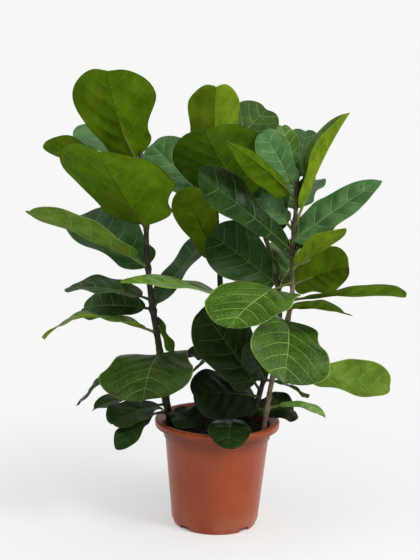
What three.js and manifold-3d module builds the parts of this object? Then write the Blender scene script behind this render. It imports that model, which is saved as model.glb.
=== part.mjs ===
// A fiddle leaf fig in a plastic nursery pot: four woody stems stand in the
// soil and carry large, broad leaves on short stalks. Millimetres, +Z up,
// the origin at the centre of the pot's base and the front of the plant at -Y.

import * as THREE from 'three';
import { mergeVertices } from 'three/addons/utils/BufferGeometryUtils.js';
import Module from 'manifold-3d';

const wasm = await Module();
wasm.setup();

// ---------------------------------------------------------------- dimensions

const GAP = 0.3; // clearance between touching pieces

const POT_HEIGHT = 206;
const RIM_RADIUS = 120; // outside of the lip
const RIM_DEPTH = 14; // height of the turned-down lip
const MOUTH_RADIUS = 111; // inner edge of the rim
const COLLAR_RADIUS = 102.5; // plain band right under the lip
const STEP_Z = 172; // the wall steps in below the collar
const BODY_TOP_RADIUS = 99.5;
const BODY_FOOT_RADIUS = 84;
const WALL = 2.5;
const FOOT_RADIUS = 80.5;
const FOOT_HEIGHT = 8;
const HUB_RADIUS = 30; // flat disc in the middle of the base
const NOTCH_WIDTH = 22; // drain notches through the foot ring
const NOTCH_LENGTH = 30;
const POT_SIDES = 36;

const SOIL_TOP = 184;
const SOIL_LUMP_HEIGHT = 2.5;
const SOIL_LUMP_SPREAD = 10;

const STEM_FOOT_Z = 125; // the stems stand this deep in the soil
const STEM_SIDES = 8;
const STEM_STEPS = 15;
const STEM_SWELLING = 0.35; // of the joints along the stem
const BUD_SHARE = 0.93; // the sheath round the top bud starts at this share of the stem
const BUD_SWELLING = 2.2;
const BUD_TIP_RADIUS = 0.9;
const BUD_STATIONS = [0.955, 0.98, 1];

const BLADE = 0.9; // thickness of a leaf's blade
const KEEL = 1.7; // how far the midrib stands out below it
const STALK_RADIUS = 2.5;
const NECK_HALF_WIDTH = 2.6; // where the blade starts on its stalk
const BLADE_STATIONS = [0.03, 0.14, 0.29, 0.45, 0.61, 0.77, 0.91, 1]; // shares of its length
const ACROSS = [-1, -0.5, 0, 0.5, 1]; // shares of its half width
const CORNERS = 2 * ACROSS.length; // corners of a section, round or flat
const BASE_ROUNDING = 0.14; // share of the length in which the base rounds out
const WAIST_SHARE = 0.16; // the narrow basal part reaches to this share
const LOBE_SHARE = 0.1; // the base's own lobes are widest here
const WAIST_END = 0.36; // and end here
const BASE_LOBE = 9; // how far the basal lobes reach back past the stalk's end
const NOTCH_SHARE = 0.15; // half width of the tip's notch, as a share of the blade's

// ------------------------------------------------------------------ materials

const paint = (color, roughness) => new THREE.MeshStandardMaterial({ color, roughness, metalness: 0 });
const potPlastic = paint(0x9c4a30, 0.42);
const pottingSoil = paint(0x241a12, 0.95);
const bark = paint(0x5a4632, 0.85);
const leafDark = paint(0x2c4a1c, 0.38);
const leafBlue = paint(0x2c4a32, 0.36);
const leafMid = paint(0x3f6a1e, 0.38);
const leafYoung = paint(0x5c8a2a, 0.4);
const leafTones = { dark: leafDark, blue: leafBlue, mid: leafMid, young: leafYoung };

// -------------------------------------------------------------------- helpers

function solidOf(geometry) {
  const bare = geometry.clone();
  bare.deleteAttribute('normal');
  bare.deleteAttribute('uv');
  const merged = mergeVertices(bare, 1e-4);
  return new wasm.Manifold(new wasm.Mesh({
    numProp: 3,
    vertProperties: new Float32Array(merged.attributes.position.array),
    triVerts: new Uint32Array(merged.index.array),
  }));
}

function geometryOf(solid) {
  const mesh = solid.getMesh();
  const geometry = new THREE.BufferGeometry();
  geometry.setAttribute('position', new THREE.BufferAttribute(new Float32Array(mesh.vertProperties), 3));
  geometry.setIndex(new THREE.BufferAttribute(new Uint32Array(mesh.triVerts), 1));
  geometry.computeVertexNormals();
  return geometry;
}

function place(name, geometry, material) {
  const mesh = new THREE.Mesh(geometry, material);
  mesh.name = name;
  return mesh;
}

function upright(points) {
  const profile = points.map(([radius, z]) => new THREE.Vector2(radius, z));
  return new THREE.LatheGeometry(profile, POT_SIDES).rotateX(Math.PI / 2);
}

// ------------------------------------------------------------------------ pot

const FLOOR_TOP = FOOT_HEIGHT + WALL;
const INNER_FOOT_RADIUS = BODY_FOOT_RADIUS - WALL - 2;
const INNER_STEP_RADIUS = BODY_TOP_RADIUS - WALL;
const INNER_COLLAR_RADIUS = COLLAR_RADIUS - WALL;
const LIP_FOOT_Z = POT_HEIGHT - RIM_DEPTH;

function potShell() {
  const outline = [
    [0, 0],
    [HUB_RADIUS, 0],
    [HUB_RADIUS + 3, FOOT_HEIGHT],
    [FOOT_RADIUS - 6, FOOT_HEIGHT],
    [FOOT_RADIUS - 4, 0],
    [FOOT_RADIUS - 1, 0],
    [FOOT_RADIUS, FOOT_HEIGHT],
    [BODY_FOOT_RADIUS - 0.6, FOOT_HEIGHT + 1],
    [BODY_FOOT_RADIUS, FOOT_HEIGHT + 5],
    [BODY_TOP_RADIUS, STEP_Z - 2],
    [COLLAR_RADIUS, STEP_Z],
    [COLLAR_RADIUS + 1, POT_HEIGHT - 9],
    [COLLAR_RADIUS + 5, POT_HEIGHT - 4.5],
    [RIM_RADIUS - 4, POT_HEIGHT - 5],
    [RIM_RADIUS - 3.5, LIP_FOOT_Z],
    [RIM_RADIUS - 1, LIP_FOOT_Z],
    [RIM_RADIUS, POT_HEIGHT - 4],
    [RIM_RADIUS - 2, POT_HEIGHT - 0.5],
    [RIM_RADIUS - 4, POT_HEIGHT],
    [MOUTH_RADIUS, POT_HEIGHT - 1],
    [INNER_COLLAR_RADIUS + 1, POT_HEIGHT - 9],
    [INNER_COLLAR_RADIUS, STEP_Z + 1],
    [INNER_STEP_RADIUS, STEP_Z - 5],
    [INNER_FOOT_RADIUS, FLOOR_TOP + 3],
    [INNER_FOOT_RADIUS - 3, FLOOR_TOP],
    [0, FLOOR_TOP],
  ];
  let pot = solidOf(upright(outline));
  for (let corner = 0; corner < 4; corner += 1) {
    const notch = new THREE.BoxGeometry(NOTCH_LENGTH, NOTCH_WIDTH, 2 * FOOT_HEIGHT - 2);
    notch.translate(FOOT_RADIUS + 2, 0, 0);
    notch.rotateZ(Math.PI / 4 + corner * (Math.PI / 2));
    pot = pot.subtract(solidOf(notch));
  }
  return pot;
}

// ---------------------------------------------------------------------- stems

// Each stem is a run of points from its foot in the soil to its top bud.
const stems = {
  left: {
    base: 7.5,
    top: 4.2,
    route: [
      [-81, 4, STEM_FOOT_Z], [-89, 5, 190], [-99, 5, 232], [-113, 5, 330], [-128, 5, 412],
      [-136, 5, 470], [-142, 5, 530], [-144, 5, 580], [-150, 5, 635], [-155, 5, 680], [-157, 4, 716],
    ],
  },
  middle: {
    base: 6.5,
    top: 4,
    route: [
      [33, 30, STEM_FOOT_Z], [28, 30, 190], [20, 30, 240], [11, 30, 300], [2, 30, 400],
      [-1, 32, 460], [-6, 36, 520], [-12, 42, 590], [-17, 46, 680], [-19, 45, 740], [-20, 43, 775],
    ],
  },
  right: {
    base: 5.4,
    top: 3.9,
    route: [
      [82, -18, STEM_FOOT_Z], [90, -20, 200], [102, -20, 290], [126, -20, 400], [134, -20, 460],
      [131, -20, 510], [131, -20, 550], [134, -20, 600], [134, -20, 650], [131, -20, 697],
    ],
  },
  inner: {
    base: 5.4,
    top: 3.9,
    route: [
      [63, 15, STEM_FOOT_Z], [70, 15, 200], [83, 15, 262], [96, 15, 305], [112, 15, 375],
      [113, 15, 430], [99, 15, 500], [78, 15, 566], [61, 15, 612], [50, 14, 648],
    ],
  },
};

for (const stem of Object.values(stems)) {
  stem.curve = new THREE.CatmullRomCurve3(stem.route.map((point) => new THREE.Vector3(...point)));
}

function stemRadius(stem, t) {
  if (t < BUD_SHARE) return THREE.MathUtils.lerp(stem.base, stem.top, t) + STEM_SWELLING * Math.sin(t * 40);
  // the papery sheath round the top bud swells and then runs to a point
  const along = (t - BUD_SHARE) / (1 - BUD_SHARE);
  const sheath = stem.top + BUD_SWELLING * Math.sin(Math.PI * Math.min(1, along * 1.4));
  return Math.max(BUD_TIP_RADIUS, sheath * (1 - along * along));
}

function stemGeometry(stem, grow = 0) {
  const stations = [];
  for (let step = 0; step <= STEM_STEPS; step += 1) stations.push((BUD_SHARE * step) / STEM_STEPS);
  stations.push(...BUD_STATIONS);
  const positions = [];
  for (const t of stations) {
    const centre = stem.curve.getPointAt(t);
    const radius = stemRadius(stem, t) + grow;
    for (let side = 0; side < STEM_SIDES; side += 1) {
      const angle = (2 * Math.PI * side) / STEM_SIDES;
      positions.push(centre.x + radius * Math.cos(angle), centre.y + radius * Math.sin(angle), centre.z);
    }
  }
  const faces = [];
  const rings = stations.length;
  for (let ring = 0; ring + 1 < rings; ring += 1) {
    for (let side = 0; side < STEM_SIDES; side += 1) {
      const next = (side + 1) % STEM_SIDES;
      const a = ring * STEM_SIDES + side;
      const b = ring * STEM_SIDES + next;
      faces.push(a, b, b + STEM_SIDES, a, b + STEM_SIDES, a + STEM_SIDES);
    }
  }
  const topRing = (rings - 1) * STEM_SIDES;
  for (let side = 1; side + 1 < STEM_SIDES; side += 1) {
    faces.push(0, side + 1, side);
    faces.push(topRing, topRing + side, topRing + side + 1);
  }
  const geometry = new THREE.BufferGeometry();
  geometry.setAttribute('position', new THREE.Float32BufferAttribute(positions, 3));
  geometry.setIndex(faces);
  return geometry;
}

function pointOnStem(stem, z) {
  let low = 0;
  let high = 1;
  for (let turn = 0; turn < 30; turn += 1) {
    const middle = (low + high) / 2;
    if (stem.curve.getPointAt(middle).z < z) low = middle;
    else high = middle;
  }
  return stem.curve.getPointAt(low);
}

// --------------------------------------------------------------------- leaves

// One row a leaf. at: height of its node on the stem; tip: where the blade ends;
// face: the way its upper side looks; wide: greatest width; arch and bow: how far
// the midrib bends towards the upper side and sideways; curl: how much of that is
// near the tip; fold: degrees each half is raised; wave: height of the margin's
// waves; turn: degrees the blade is twisted from its stalk to its tip; waist: width
// of the narrow basal part as a share of the widest, which lies at share widest of
// the length; taper: 0.5 for a round tip and near 1 for a pointed one; lobes: how much
// wider than the waist the base is; notch: how far the tip's sides reach past its
// middle; stalk: length from the stem to the blade.
const leaves = {
  left: [
    {
      at: 680, tip: [-217, -25, 856], face: [0.3, 0.95, 0.1],
      wide: 166, bow: 14, waist: 0.57, notch: 7, tone: 'mid',
    },
    {
      at: 567, tip: [-223, -130, 718], face: [0.35, 0.6, 0.72],
      wide: 240, bow: 13, waist: 0.64, widest: 0.5, lobes: 0.05, stalk: 16, tone: 'mid',
    },
    { at: 650, tip: [-344, 50, 715], face: [-0.1, 0.6, 0.8], wide: 96, taper: 0.8, tone: 'mid' },
    { at: 662, tip: [-270, 145, 754], face: [0.1, -0.6, 0.8], wide: 115, tone: 'blue' },
    {
      at: 493, tip: [-346, -105, 605], face: [0.35, 0.5, 0.8],
      wide: 118, arch: 10, wave: 2, stalk: 44, tone: 'blue',
    },
    {
      at: 492, tip: [-277, 150, 577], face: [0.3, -0.75, 0.6],
      wide: 140, bow: -4, stalk: 14, tone: 'blue',
    },
    { at: 431, tip: [-295, 60, 442], face: [0, -0.15, 1], wide: 105, arch: 10, tone: 'dark' },
    {
      at: 368, tip: [-333, -4, 352], face: [0, 0.08, 1],
      wide: 76, arch: 10, curl: 60, fold: 8, wave: 5, tone: 'young',
    },
    { at: 410, tip: [-101, 42, 325], face: [1, 0.5, 0], wide: 80, arch: 4, stalk: 24, tone: 'dark' },
    {
      at: 414, tip: [-12, 138, 559], face: [-0.6, -0.5, 0.5],
      wide: 72, waist: 0.9, stalk: 20, tone: 'blue',
    },
    {
      at: 333, tip: [-134, -165, 280], face: [-0.16, -0.4, 0.9],
      wide: 176, arch: 14, waist: 0.75, tone: 'mid',
    },
    {
      at: 302, tip: [-278, 96, 197], face: [-0.5, -0.3, 0.85],
      wide: 36, arch: 26, stalk: 60, tone: 'dark',
    },
    { at: 248, tip: [-241, 30, 210], face: [0, -0.15, 1], wide: 82, arch: 8, tone: 'dark' },
    { at: 228, tip: [-193, -95, 216], face: [0, -0.3, 0.95], wide: 82, arch: 10, tone: 'dark' },
    {
      at: 212, tip: [-174, -130, 178], face: [-0.3, -0.2, 0.9],
      wide: 60, arch: 22, stalk: 56, tone: 'dark',
    },
    { at: 212, tip: [-38, -80, 211], face: [0, -0.5, 0.85], wide: 68, arch: 12, tone: 'dark' },
    { at: 240, tip: [0, 85, 316], face: [-0.6, 0.1, 0.75], wide: 50, arch: 4, stalk: 40, tone: 'blue' },
    { at: 598, tip: [-200, 190, 668], face: [0.2, -0.3, 0.95], wide: 132, arch: 14, tone: 'mid' },
    {
      at: 414, tip: [-274, 140, 387], face: [0.05, -0.9, 0.45],
      wide: 64, arch: 16, stalk: 26, tone: 'dark',
    },
  ],
  middle: [
    {
      at: 715, tip: [-19, 0, 833], face: [-0.1, 1, 0.1],
      wide: 114, fold: 30, waist: 0.9, widest: 0.5, taper: 0.62, notch: 6, stalk: 18, tone: 'young',
    },
    {
      at: 690, tip: [81, 112, 793], face: [-0.2, -0.9, 0.3],
      wide: 98, wave: 1.5, notch: 7, stalk: 44, tone: 'mid',
    },
    { at: 603, tip: [-140, 75, 722], face: [0, -0.9, 0.35], wide: 100, tone: 'blue' },
    { at: 492, tip: [-73, -20, 644], face: [0, 1, 0.2], wide: 82, tone: 'mid' },
    {
      at: 440, tip: [-179, -122, 484], face: [0, -0.22, 1],
      wide: 84, arch: 8, wave: 2, waist: 1, widest: 0.4, taper: 0.8, stalk: 8, tone: 'young',
    },
    {
      at: 199, tip: [20, -166, 197], face: [0, -0.1, 1],
      wide: 80, arch: 0, curl: 38, wave: 2, widest: 0.68, notch: 1, stalk: 60, tone: 'dark',
    },
    { at: 296, tip: [-62, 24, 326], face: [0.2, -0.3, 0.9], wide: 40, arch: 6, stalk: 40, tone: 'dark' },
    { at: 655, tip: [20, 220, 735], face: [0, -0.3, 0.95], wide: 134, arch: 14, tone: 'mid' },
  ],
  inner: [
    {
      at: 614, tip: [-37, -52, 755], face: [0.25, 0.9, 0.2],
      wide: 178, bow: 11, waist: 0.75, widest: 0.6, tone: 'dark',
    },
    {
      at: 552, tip: [72, 62, 655], face: [-0.2, -0.95, 0.2],
      wide: 112, waist: 0.8, stalk: 14, tone: 'dark',
    },
    { at: 465, tip: [-22, -10, 563], face: [0.15, -0.95, 0.25], wide: 112, stalk: 14, tone: 'dark' },
    { at: 257, tip: [-36, -34, 423], face: [0.2, -0.9, 0.3], wide: 118, waist: 0.75, tone: 'dark' },
    { at: 279, tip: [49, -60, 367], face: [0.3, -0.9, 0.1], wide: 58, stalk: 22, tone: 'dark' },
    { at: 279, tip: [170, 50, 238], face: [0.2, 0.1, 1], wide: 60, arch: 8, tone: 'dark' },
    {
      at: 245, tip: [-47, -70, 270], face: [0.1, -0.75, 0.62],
      wide: 108, arch: 10, fold: -8, waist: 0.8, stalk: 16, tone: 'dark',
    },
    { at: 450, tip: [168, 190, 520], face: [0, -0.6, 0.8], wide: 122, arch: 12, tone: 'mid' },
    { at: 216, tip: [150, 40, 212], face: [0.1, -0.6, 0.8], wide: 74, arch: 14, stalk: 8, tone: 'dark' },
  ],
  right: [
    {
      at: 579, tip: [224, -35, 792], face: [-0.9, -0.12, 0.45],
      wide: 84, fold: 50, wave: 1, waist: 0.55, widest: 0.55, taper: 0.9, stalk: 46, tone: 'young',
    },
    {
      at: 632, tip: [0, -150, 740], face: [-0.3, 0.85, -0.3],
      wide: 58, arch: -10, fold: 34, wave: 1.5, waist: 0.9, widest: 0.45, taper: 1.2, stalk: 34, tone: 'mid',
    },
    {
      at: 652, tip: [68, -44, 754], face: [-0.2, -0.95, 0.25],
      wide: 62, wave: 2, stalk: 20, tone: 'blue',
    },
    { at: 664, tip: [104, 0, 765], face: [0.2, -0.95, 0.2], wide: 44, stalk: 12, tone: 'mid' },
    { at: 655, tip: [154, 66, 755], face: [0, -0.95, 0.3], wide: 64, stalk: 30, tone: 'blue' },
    {
      at: 551, tip: [291, -15, 670], face: [-0.45, -0.65, 0.65],
      wide: 80, wave: 2, waist: 0.9, widest: 0.38, taper: 0.75, stalk: 14, tone: 'blue',
    },
    { at: 528, tip: [204, 60, 588], face: [-0.3, -0.7, 0.6], wide: 66, tone: 'dark' },
    {
      at: 500, tip: [220, -92, 587], face: [-0.3, 0.55, 0.75],
      wide: 72, wave: 1, widest: 0.5, taper: 0.9, stalk: 24, tone: 'young',
    },
    {
      at: 471, tip: [243, 26, 502], face: [-0.2, 0.9, 0.3],
      wide: 102, waist: 0.6, stalk: 14, tone: 'mid',
    },
    {
      at: 443, tip: [345, -30, 459], face: [-0.05, 0.38, 0.92],
      wide: 105, arch: 6, wave: 1.5, waist: 0.4, widest: 0.62, tone: 'mid',
    },
    {
      at: 428, tip: [226, -90, 434], face: [-0.25, 0.64, 0.8],
      wide: 92, arch: 5, wave: 1, waist: 0.46, widest: 0.8, stalk: 18, tone: 'mid',
    },
    {
      at: 405, tip: [112, -165, 321], face: [0.38, -0.42, 0.82],
      wide: 162, arch: 12, fold: 14, waist: 0.69, widest: 0.69, stalk: 18, tone: 'mid',
    },
    {
      at: 296, tip: [319, -60, 294], face: [0, 0.85, 0.5],
      wide: 98, arch: 10, wave: 2, stalk: 72, tone: 'blue',
    },
    {
      at: 476, tip: [16, -190, 423], face: [-0.18, -0.4, 0.9],
      wide: 160, arch: 9, bow: 8, waist: 0.9, widest: 0.5, stalk: 62, tone: 'mid',
    },
    {
      at: 534, tip: [-47, -110, 678], face: [0.35, -0.7, 0.6],
      wide: 98, waist: 0.46, widest: 0.74, stalk: 14, tone: 'dark',
    },
    { at: 572, tip: [67, 14, 630], face: [0.2, -0.8, 0.5], wide: 60, stalk: 28, tone: 'blue' },
    { at: 232, tip: [204, -30, 221], face: [0.1, 0.02, 1], wide: 66, arch: 14, wave: 1, tone: 'mid' },
    {
      at: 592, tip: [158, 180, 650], face: [-0.1, -0.3, 0.95],
      wide: 106, arch: 14, stalk: 52, tone: 'blue',
    },
  ],
};

// Half width of the blade at share u of its length, as a share of the greatest.
function outline(u, waist, widest, taper, lobes) {
  const base = Math.sqrt(1 - (1 - Math.min(1, u / BASE_ROUNDING)) ** 2);
  const upper = waist + (1 - waist) * THREE.MathUtils.smoothstep(u, WAIST_SHARE, widest);
  const body = upper + lobes * (1 - THREE.MathUtils.smoothstep(u, LOBE_SHARE, WAIST_END));
  const end = u < widest ? 1 : Math.max(0, 1 - ((u - widest) / (1 - widest)) ** 2) ** taper;
  return base * body * end;
}

function leafGeometry(stem, leaf, order) {
  const {
    at, wide, arch = 6, bow = 0, curl = 0, fold = 8, turn = 0, wave = 3, waves = 2.2,
    waist = 0.62, widest = 0.66, taper = 0.5, lobes = 0, notch = 4, stalk = 30,
  } = leaf;
  const root = pointOnStem(stem, at);
  const tip = new THREE.Vector3(...leaf.tip);
  const chord = tip.clone().sub(root);
  const length = chord.length();
  const along = chord.clone().normalize();
  const face = new THREE.Vector3(...leaf.face);
  const up = face.addScaledVector(along, -along.dot(face)).normalize();
  const side = along.clone().cross(up);
  const bend = root.clone().add(tip).multiplyScalar(0.5);
  bend.addScaledVector(up, 2 * arch).addScaledVector(side, 2 * bow);
  const midrib = new THREE.QuadraticBezierCurve3(root, bend, tip);
  const stalkShare = stalk / length;
  const lean = (fold * Math.PI) / 180;

  const positions = [];
  const ring = (t, section) => {
    const centre = midrib.getPoint(t).addScaledVector(up, curl * (t - t ** 4));
    const tangent = midrib.getTangent(t).addScaledVector(up, (curl * (1 - 4 * t ** 3)) / length);
    tangent.normalize();
    const normal = up.clone().addScaledVector(tangent, -up.dot(tangent)).normalize();
    normal.applyAxisAngle(tangent, (turn * Math.PI * t) / 180);
    const across = tangent.clone().cross(normal);
    for (const [sideways, upwards, onwards] of section) {
      const point = centre.clone().addScaledVector(across, sideways);
      point.addScaledVector(normal, upwards).addScaledVector(tangent, onwards);
      positions.push(point.x, point.y, point.z);
    }
  };
  const round = [];
  for (let corner = 0; corner < CORNERS; corner += 1) {
    const angle = Math.PI * (0.9 - (2 * corner) / CORNERS);
    round.push([STALK_RADIUS * Math.cos(angle), STALK_RADIUS * Math.sin(angle), 0]);
  }
  const flat = (u) => {
    const half = Math.max(NECK_HALF_WIDTH, (wide / 2) * outline(u, waist, widest, taper, lobes));
    const spot = (v, below) => {
      const phase = order * 1.7 + (v < 0 ? 1.3 : 0);
      const ripple = wave * v * v * Math.sin(2 * Math.PI * waves * u + phase);
      const lift = Math.abs(v) * half * Math.sin(lean) + ripple;
      const keel = below && v === 0 ? KEEL * (1 - u) : 0;
      const skin = (below ? -BLADE / 2 : BLADE / 2) / Math.cos(lean) - keel;
      const shoulder = 1 - Math.exp(-(((v * half) / (NOTCH_SHARE * wide)) ** 2));
      const reach = notch * u ** 6 * shoulder - BASE_LOBE * v * v * (1 - u) ** 6;
      return [v * half * Math.cos(lean), lift + skin, reach];
    };
    const above = ACROSS.map((v) => spot(v, false));
    const below = ACROSS.map((v) => spot(v, true));
    return [...above, ...below.reverse()];
  };
  ring(0, round);
  ring(stalkShare, round);
  for (const u of BLADE_STATIONS) ring(stalkShare + (1 - stalkShare) * u, flat(u));

  const faces = [];
  const rings = BLADE_STATIONS.length + 2;
  const columns = ACROSS.length - 1;
  // the upper and lower corner numbers of column j in ring i
  const high = (i, j) => i * CORNERS + j;
  const low = (i, j) => (i + 1) * CORNERS - 1 - j;
  const quad = (a, b, c, d) => faces.push(a, b, c, a, c, d);
  for (let i = 0; i + 1 < rings; i += 1) {
    for (let j = 0; j < columns; j += 1) {
      // both skins are split along the same diagonals, so the blade stays even
      if (j < columns / 2) {
        quad(high(i, j), high(i, j + 1), high(i + 1, j + 1), high(i + 1, j));
        quad(low(i, j), low(i + 1, j), low(i + 1, j + 1), low(i, j + 1));
      } else {
        quad(high(i, j + 1), high(i + 1, j + 1), high(i + 1, j), high(i, j));
        quad(low(i, j + 1), low(i, j), low(i + 1, j), low(i + 1, j + 1));
      }
    }
    quad(low(i, 0), high(i, 0), high(i + 1, 0), low(i + 1, 0));
    quad(high(i, columns), low(i, columns), low(i + 1, columns), high(i + 1, columns));
  }
  const last = rings - 1;
  for (let j = 0; j < columns; j += 1) {
    quad(low(0, j), low(0, j + 1), high(0, j + 1), high(0, j));
    quad(high(last, j), high(last, j + 1), low(last, j + 1), low(last, j));
  }
  const geometry = new THREE.BufferGeometry();
  geometry.setAttribute('position', new THREE.Float32BufferAttribute(positions, 3));
  geometry.setIndex(faces);
  return geometry;
}

// ----------------------------------------------------------------------- soil

function soilBody() {
  const fillOutline = [
    [0, FLOOR_TOP + GAP],
    [INNER_FOOT_RADIUS - 3 - GAP, FLOOR_TOP + GAP],
    [INNER_FOOT_RADIUS - GAP, FLOOR_TOP + 3 + GAP],
    [INNER_STEP_RADIUS - GAP, STEP_Z - 5],
    [INNER_COLLAR_RADIUS - GAP, STEP_Z + 1],
    [INNER_COLLAR_RADIUS - GAP, SOIL_TOP - 2],
    [80, SOIL_TOP],
    [52, SOIL_TOP],
    [25, SOIL_TOP],
    [0, SOIL_TOP],
  ];
  const fill = upright(fillOutline);
  const spots = fill.attributes.position;
  for (let i = 0; i < spots.count; i += 1) {
    const x = spots.getX(i);
    const y = spots.getY(i);
    if (spots.getZ(i) < SOIL_TOP - 1) continue;
    const lump = Math.sin(x / SOIL_LUMP_SPREAD + 1) * Math.cos(y / SOIL_LUMP_SPREAD);
    spots.setZ(i, SOIL_TOP + SOIL_LUMP_HEIGHT * lump);
  }
  let soil = solidOf(fill);
  for (const stem of Object.values(stems)) soil = soil.subtract(solidOf(stemGeometry(stem, GAP)));
  return soil;
}

// ------------------------------------------------------------------- assembly

const plant = new THREE.Group();
plant.name = 'potted_fiddle_leaf_fig';
plant.add(place('pot', geometryOf(potShell()), potPlastic));
plant.add(place('soil', geometryOf(soilBody()), pottingSoil));
for (const [which, stem] of Object.entries(stems)) {
  plant.add(place(`stem_${which}`, stemGeometry(stem), bark));
  const seat = solidOf(stemGeometry(stem, GAP));
  leaves[which].forEach((leaf, order) => {
    const blade = solidOf(leafGeometry(stem, leaf, order)).subtract(seat);
    const name = `leaf_${which}_${String(order + 1).padStart(2, '0')}`;
    plant.add(place(name, geometryOf(blade), leafTones[leaf.tone]));
  });
}

export default plant;
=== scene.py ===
# A fiddle leaf fig in a terracotta-coloured nursery pot, on a pale floor.
# Sizes of the plant and its pot are in millimetres, and MM turns them into Blender's
# metres. Places in the studio and heights in materials are in metres, and angles that
# have a name are in degrees.

import math
import random

import bpy
import numpy as np
from mathutils import Matrix, Vector, noise


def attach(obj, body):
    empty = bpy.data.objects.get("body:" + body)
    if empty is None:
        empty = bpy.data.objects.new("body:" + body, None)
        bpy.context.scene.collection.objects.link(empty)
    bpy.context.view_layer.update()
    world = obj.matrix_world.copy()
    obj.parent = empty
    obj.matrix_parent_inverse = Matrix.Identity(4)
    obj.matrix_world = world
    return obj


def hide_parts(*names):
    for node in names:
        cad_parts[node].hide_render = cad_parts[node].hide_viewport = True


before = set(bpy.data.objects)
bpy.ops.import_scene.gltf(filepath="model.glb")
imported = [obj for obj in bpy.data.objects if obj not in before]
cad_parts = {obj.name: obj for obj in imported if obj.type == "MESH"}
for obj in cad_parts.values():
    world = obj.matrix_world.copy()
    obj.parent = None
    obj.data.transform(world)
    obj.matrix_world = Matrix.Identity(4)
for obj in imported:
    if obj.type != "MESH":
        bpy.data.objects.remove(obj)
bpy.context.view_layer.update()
bpy.ops.object.select_all(action="DESELECT")

# ------------------------------------------------------------- camera and studio
# The camera stands 2.1 m in front of the pot, at the height of the upper leaves, and
# looks slightly down. It is held a little askew. The picture is 560 pixels high.

PICTURE_HEIGHT = 560
FOCAL_PIXELS = 1127
SENSOR_MM = 36.0
CAMERA_PLACE = (-0.021, -2.1, 0.81)
CAMERA_TILT = 9.1
CAMERA_ROLL = 1.5

lens = bpy.data.cameras.new("camera")
lens.sensor_width = SENSOR_MM
lens.lens = SENSOR_MM * FOCAL_PIXELS / PICTURE_HEIGHT
camera = bpy.data.objects.new("camera", lens)
bpy.context.collection.objects.link(camera)
camera.matrix_world = (
    Matrix.Translation(CAMERA_PLACE)
    @ Matrix.Rotation(math.radians(90 - CAMERA_TILT), 4, "X")
    @ Matrix.Rotation(math.radians(CAMERA_ROLL), 4, "Z")
)
bpy.context.scene.camera = camera
bpy.context.scene.view_settings.view_transform = "Standard"


def set_inputs(tree, node, inputs):
    """Links a node's inputs to sockets, or sets them to numbers or (red, green, blue)."""
    for name, value in inputs.items():
        socket = node.inputs[name]
        if isinstance(value, bpy.types.NodeSocket):
            tree.links.new(value, socket)
        else:
            socket.default_value = (*value, 1) if socket.type == "RGBA" else value


def add_node(tree, kind, inputs=None, **settings):
    """A shader node with its settings and inputs."""
    made = tree.nodes.new(kind)
    for name, value in settings.items():
        setattr(made, name, value)
    set_inputs(tree, made, inputs or {})
    return made


def ramp(tree, value, start, end, low=0.0, high=1.0):
    """Low up to start, high from end on, and smooth between them."""
    inputs = {0: value, 1: start, 2: end, 3: low, 4: high}
    return add_node(tree, "ShaderNodeMapRange", inputs, interpolation_type="SMOOTHSTEP").outputs[0]


# The room: white to the camera, and a soft dome of light, brighter to the right.
BACKDROP_WHITE = 0.93
DOME_LEFT = 0.3
DOME_RIGHT = 0.8
DOME_FADE = (-0.8, 0.9)

world = bpy.data.worlds.new("room")
bpy.context.scene.world = world
world.use_nodes = True
tree = world.node_tree
tree.nodes.clear()
direction = add_node(tree, "ShaderNodeTexCoord").outputs["Generated"]
sideways = add_node(tree, "ShaderNodeSeparateXYZ", {0: direction}).outputs["X"]
dome = ramp(tree, sideways, *DOME_FADE, DOME_LEFT, DOME_RIGHT)
seen = add_node(tree, "ShaderNodeLightPath").outputs["Is Camera Ray"]
strength = add_node(tree, "ShaderNodeMix", {0: seen, 2: dome, 3: BACKDROP_WHITE}).outputs[0]
sky = add_node(tree, "ShaderNodeBackground", {"Color": (1, 1, 1), "Strength": strength})
add_node(tree, "ShaderNodeOutputWorld", {"Surface": sky.outputs[0]})


def add_softbox(name, place, target, size, watts):
    """A square area light that looks at target."""
    box = bpy.data.lights.new(name, "AREA")
    box.size = size
    box.energy = watts
    light = bpy.data.objects.new(name, box)
    bpy.context.collection.objects.link(light)
    aim = (Vector(target) - Vector(place)).to_track_quat("-Z", "Y")
    light.matrix_world = Matrix.Translation(place) @ aim.to_matrix().to_4x4()


add_softbox("softbox_right", place=(1.9, -1.5, 2.3), target=(0, 0, 0.45), size=0.9, watts=54)
add_softbox("softbox_left", place=(-1.7, -0.6, 2.2), target=(0, 0, 0.6), size=1.4, watts=16)


def maths(tree, operation, *values):
    """One maths node."""
    inputs = dict(enumerate(values))
    return add_node(tree, "ShaderNodeMath", inputs, operation=operation).outputs[0]


def new_material(name):
    """A new material, its node tree and its Principled shader."""
    material = bpy.data.materials.new(name)
    material.use_nodes = True
    tree = material.node_tree
    return material, tree, tree.nodes["Principled BSDF"]


def own_place(tree):
    """The place on the piece itself, in metres."""
    return add_node(tree, "ShaderNodeTexCoord").outputs["Object"]


# The floor is a pale disc, lit from behind like a light table, that fades into the
# backdrop's white away from the pot. No light comes through it under the pot.
FLOOR_RADIUS = 9.0
FLOOR_SIDES = 96
FLOOR_FADE = (0.15, 1.0)
FLOOR_PAINT = 0.95
FLOOR_GLOW_AT_POT = 0.48
FOOT_SHADE = (0.072, 0.084)

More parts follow.
